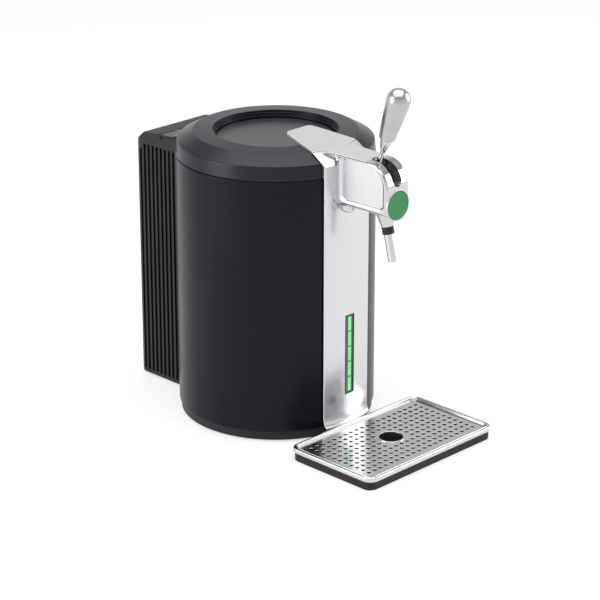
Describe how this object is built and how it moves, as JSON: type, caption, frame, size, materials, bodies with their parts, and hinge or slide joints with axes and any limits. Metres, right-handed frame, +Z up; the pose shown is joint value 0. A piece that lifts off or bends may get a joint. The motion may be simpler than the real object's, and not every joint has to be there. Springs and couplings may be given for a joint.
{
  "type": "mini keg beer dispenser",
  "caption": "Countertop keg cooler: round body with hinged lid, slatted rear housing, bright front column with lever tap, spout and perforated drip tray.",
  "frame": {"origin": "on the table, midway across the width and midway between the drip tray's front edge and the rear housing's rear face", "axes": "+Z up, +X to the right seen from the front, -Y towards the user (tap side)"},
  "size_m": [0.243, 0.465, 0.454],
  "materials": {
    "shell_paint": "satin near-black paint on sheet steel",
    "black_moulding": "matt moulded black ABS",
    "lid_moulding": "matt charcoal moulded ABS",
    "lid_disc_grey": "satin mid-grey moulded ABS",
    "satin_plate": "bead-blasted satin stainless",
    "bright_sheet": "polished stainless sheet",
    "bright_casting": "polished chromed zinc casting",
    "grip_metal": "satin turned aluminium",
    "plain_steel": "zinc-plated steel",
    "plain_aluminium": "mill-finish aluminium",
    "rubber_black": "matt black rubber",
    "dark_insert": "matt black nylon",
    "badge_green": "gloss green plastic",
    "lens_smoke": "smoked grey-green acrylic",
    "lit_green": "lit green segments",
    "foam_white": "white expanded foam",
    "board_green": "green circuit board",
    "module_ceramic": "white alumina plates"
  },
  "bodies": {
    "dispenser": {"base_pan": "black_moulding", "base_feet": "rubber_black", "body_shell": "shell_paint", "insulation_sleeve": "foam_white", "insulation_base": "foam_white", "chamber_liner": "plain_aluminium", "keg_cradle": "dark_insert", "chamber_collar": "black_moulding", "temperature_probe": "plain_steel", "cold_block": "plain_aluminium", "thermoelectric_module": "module_ceramic", "heat_sink": "plain_aluminium", "rear_chassis": "dark_insert", "fan_frame": "dark_insert", "fan_screws": "plain_steel", "control_board": "board_green", "power_supply": "board_green", "rear_cover": "black_moulding", "dust_screen": "dark_insert", "cover_screws": "plain_steel", "power_inlet": "dark_insert", "switch_housing": "dark_insert", "hinge_bracket": "plain_steel", "hinge_pin": "plain_steel", "column_panel": "bright_sheet", "column_crown": "bright_casting", "window_frame": "dark_insert", "window_lens": "lens_smoke", "window_segments": "lit_green", "window_board": "board_green", "tap_head": "bright_casting", "head_side_panels": "bright_sheet", "head_top_plate": "satin_plate", "head_boss": "bright_casting", "badge_ring": "satin_plate", "badge_disc": "badge_green", "spout_cone": "bright_casting", "nozzle_collar": "rubber_black", "nozzle_tube": "bright_sheet", "lever_pin": "plain_steel"},
    "lid": {"lid_shell": "lid_moulding", "lid_disc": "lid_disc_grey", "lid_liner": "black_moulding", "lid_gasket": "rubber_black", "lid_handle": "satin_plate", "lid_screws": "plain_steel"},
    "lever": {"lever_hub": "plain_steel", "lever_rod": "bright_casting", "lever_ferrule": "bright_casting", "lever_grip": "grip_metal", "slot_shield": "dark_insert"},
    "fan": {"fan_rotor": "dark_insert"},
    "rocker": {"power_rocker": "dark_insert"},
    "tray": {"tray_basin": "black_moulding"},
    "grid": {"tray_grid": "bright_sheet"}
  },
  "joints": [
    {"name": "lid_hinge", "type": "hinge", "parent": "dispenser", "child": "lid", "pos_m": [0, 0.18, 0.32646], "axis": [-1, 0, 0], "range_deg": [0, 85]},
    {"name": "lever_pivot", "type": "hinge", "parent": "dispenser", "child": "lever", "pos_m": [0, -0.128, 0.325], "axis": [1, 0, 0], "range_deg": [0, 50]},
    {"name": "fan_spin", "type": "hinge", "parent": "dispenser", "child": "fan", "pos_m": [0, 0.19, 0.18], "axis": [0, 1, 0], "continuous": true},
    {"name": "rocker_tilt", "type": "hinge", "parent": "dispenser", "child": "rocker", "pos_m": [0.024, 0.2275, 0.044], "axis": [1, 0, 0], "range_deg": [-8, 8]},
    {"name": "tray_slide", "type": "slide", "parent": "dispenser", "child": "tray", "axis": [0, -1, 0], "range_m": [0, 0.08]},
    {"name": "grid_lift", "type": "slide", "parent": "tray", "child": "grid", "axis": [0, 0, 1], "range_m": [0, 0.03]}
  ]
}
